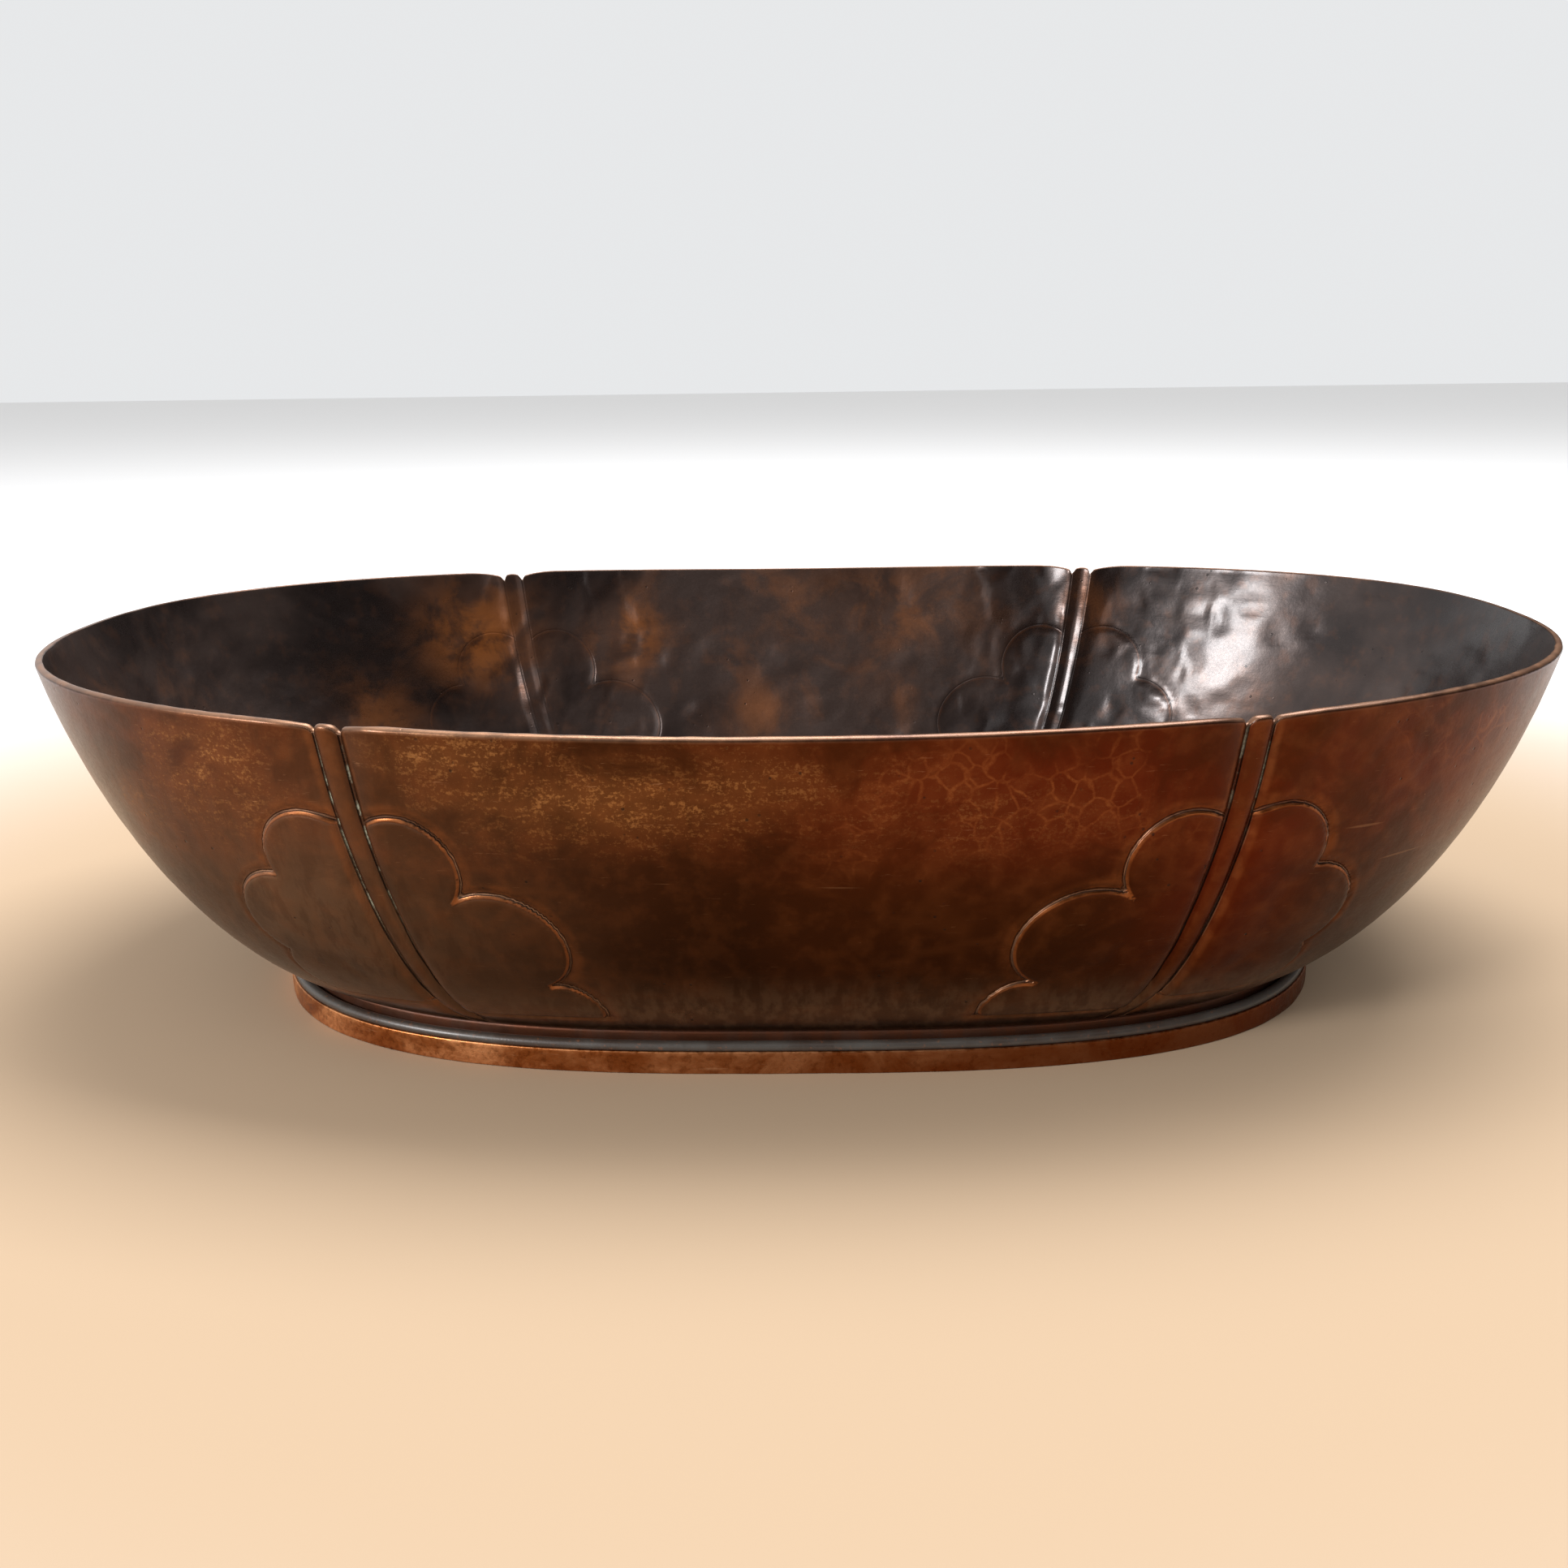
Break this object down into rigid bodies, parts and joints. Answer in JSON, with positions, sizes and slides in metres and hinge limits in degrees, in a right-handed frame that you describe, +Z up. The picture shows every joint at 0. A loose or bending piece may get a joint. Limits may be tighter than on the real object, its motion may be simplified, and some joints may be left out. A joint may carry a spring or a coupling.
{
  "type": "footed oval bowl",
  "caption": "Deep oval bowl raised from hammered copper sheet, with chased ribs and scalloped lobes, on a soldered foot ring.",
  "frame": {"origin": "middle of the foot, in the plane the bowl stands on", "axes": "+X along the bowl's length, +Z up"},
  "size_m": [0.32, 0.2, 0.072],
  "materials": {
    "patinated_copper": "hammered and chased copper under a dark brown patina, rubbed brighter on the high spots",
    "dark_copper": "smooth copper under a dark grey-brown patina",
    "bright_copper": "planished copper, rubbed bright",
    "solder": "dull hard solder"
  },
  "bodies": {
    "root": {"bowl_body": "patinated_copper", "foot_collar": "dark_copper", "foot_band": "bright_copper", "collar_solder": "solder", "band_solder": "solder", "collar_seam_solder": "solder", "band_seam_solder": "solder"}
  },
  "joints": []
}
